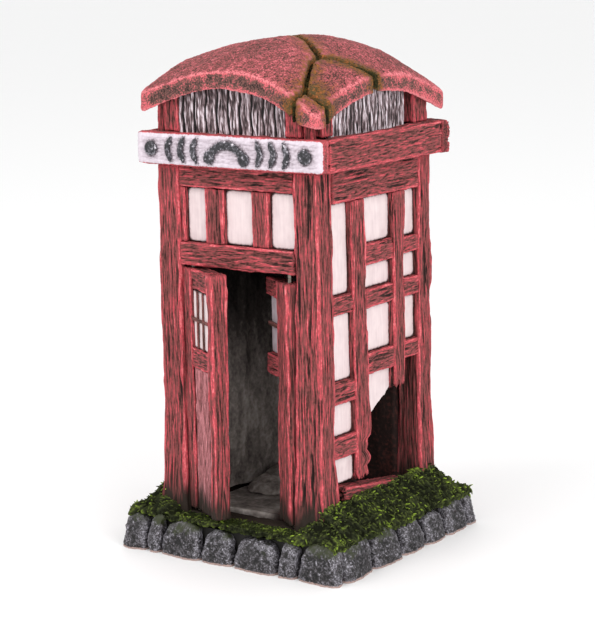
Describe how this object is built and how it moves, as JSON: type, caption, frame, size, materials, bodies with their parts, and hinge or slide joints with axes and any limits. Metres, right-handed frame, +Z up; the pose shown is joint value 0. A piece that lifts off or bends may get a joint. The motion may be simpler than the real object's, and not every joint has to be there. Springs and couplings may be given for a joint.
{
  "type": "telephone booth ornament",
  "caption": "Miniature derelict timber telephone booth with a cracked domed roof, two swinging door leaves, a broken side wall and a mossy stone-edged base.",
  "frame": {"origin": "middle of the underside of the base", "axes": "+Z up, -Y towards the doorway and sign, +X to the right of someone facing the doorway"},
  "size_m": [0.086, 0.086, 0.165],
  "materials": {
    "weathered_red_timber": "matte, dry-brushed over a brown wash",
    "pink_panel_timber": "matte, pale pink dry-brush over red",
    "dark_glazing_bar": "matte dark brown",
    "ivory_pane": "smooth matte off-white paint",
    "sign_white": "matte off-white paint, streaked",
    "sign_black": "matte charcoal paint, rubbed",
    "slate_fluting": "charcoal, silver dry-brush",
    "roof_sand_red": "gritty stippled matte",
    "edge_stone": "pitted, lilac-grey dry-brush",
    "cabin_rock": "smooth matte dark grey",
    "moss": "flocked, matte",
    "crack_moss": "gritty, matte",
    "resin_body": "matte, unseen",
    "pin_wire": "dull steel wire"
  },
  "bodies": {
    "booth": {"base_slab": "resin_body", "edge_stones_front": "edge_stone", "edge_stones_right": "edge_stone", "edge_stones_back": "edge_stone", "edge_stones_left": "edge_stone", "moss_bank": "moss", "cabin_floor": "cabin_rock", "floor_rubble": "cabin_rock", "door_sill": "weathered_red_timber", "corner_post_front_left": "weathered_red_timber", "corner_post_front_right": "weathered_red_timber", "corner_post_back_left": "weathered_red_timber", "corner_post_back_right": "weathered_red_timber", "front_head_rail": "weathered_red_timber", "transom_mullions": "weathered_red_timber", "transom_panes": "ivory_pane", "transom_rail": "weathered_red_timber", "right_head_rail": "weathered_red_timber", "right_front_bar": "weathered_red_timber", "right_rear_bar": "weathered_red_timber", "right_window_rails": "weathered_red_timber", "right_panes": "ivory_pane", "right_sill_plank": "weathered_red_timber", "left_head_rail": "weathered_red_timber", "left_window_bars": "weathered_red_timber", "left_window_rails": "weathered_red_timber", "left_panes": "ivory_pane", "back_planks": "weathered_red_timber", "back_rails": "weathered_red_timber", "rock_lining_left": "cabin_rock", "rock_lining_back": "cabin_rock", "rock_lining_right": "cabin_rock", "fascia_front": "sign_white", "fascia_right": "weathered_red_timber", "fascia_back": "weathered_red_timber", "fascia_left": "weathered_red_timber", "sign_marks": "sign_black", "ceiling_deck": "resin_body", "clerestory_core": "resin_body", "clerestory_panels": "slate_fluting", "clerestory_posts": "weathered_red_timber", "clerestory_corner_blocks": "weathered_red_timber", "roof_shell": "roof_sand_red", "roof_wedge": "roof_sand_red", "roof_corner_tip": "roof_sand_red", "crack_moss": "crack_moss"},
    "left_leaf": {"left_leaf_hinge_stile": "weathered_red_timber", "left_leaf_free_stile": "weathered_red_timber", "left_leaf_rails": "weathered_red_timber", "left_leaf_panel": "pink_panel_timber", "left_leaf_glazing_bars": "dark_glazing_bar", "left_leaf_panes": "ivory_pane", "left_leaf_pins": "pin_wire"},
    "right_leaf": {"right_leaf_hinge_stile": "weathered_red_timber", "right_leaf_rails": "weathered_red_timber", "right_leaf_glazing_bar": "dark_glazing_bar", "right_leaf_panes": "ivory_pane", "right_leaf_splinters": "weathered_red_timber", "right_leaf_pins": "pin_wire"}
  },
  "joints": [
    {"name": "left_leaf_swing", "type": "hinge", "parent": "booth", "child": "left_leaf", "pos_m": [-0.0191, -0.03025, 0.0142], "axis": [0, 0, 1], "range_deg": [-60, 30]},
    {"name": "right_leaf_swing", "type": "hinge", "parent": "booth", "child": "right_leaf", "pos_m": [0.01855, -0.0305, 0.0142], "axis": [0, 0, 1], "range_deg": [-50, 35]}
  ]
}
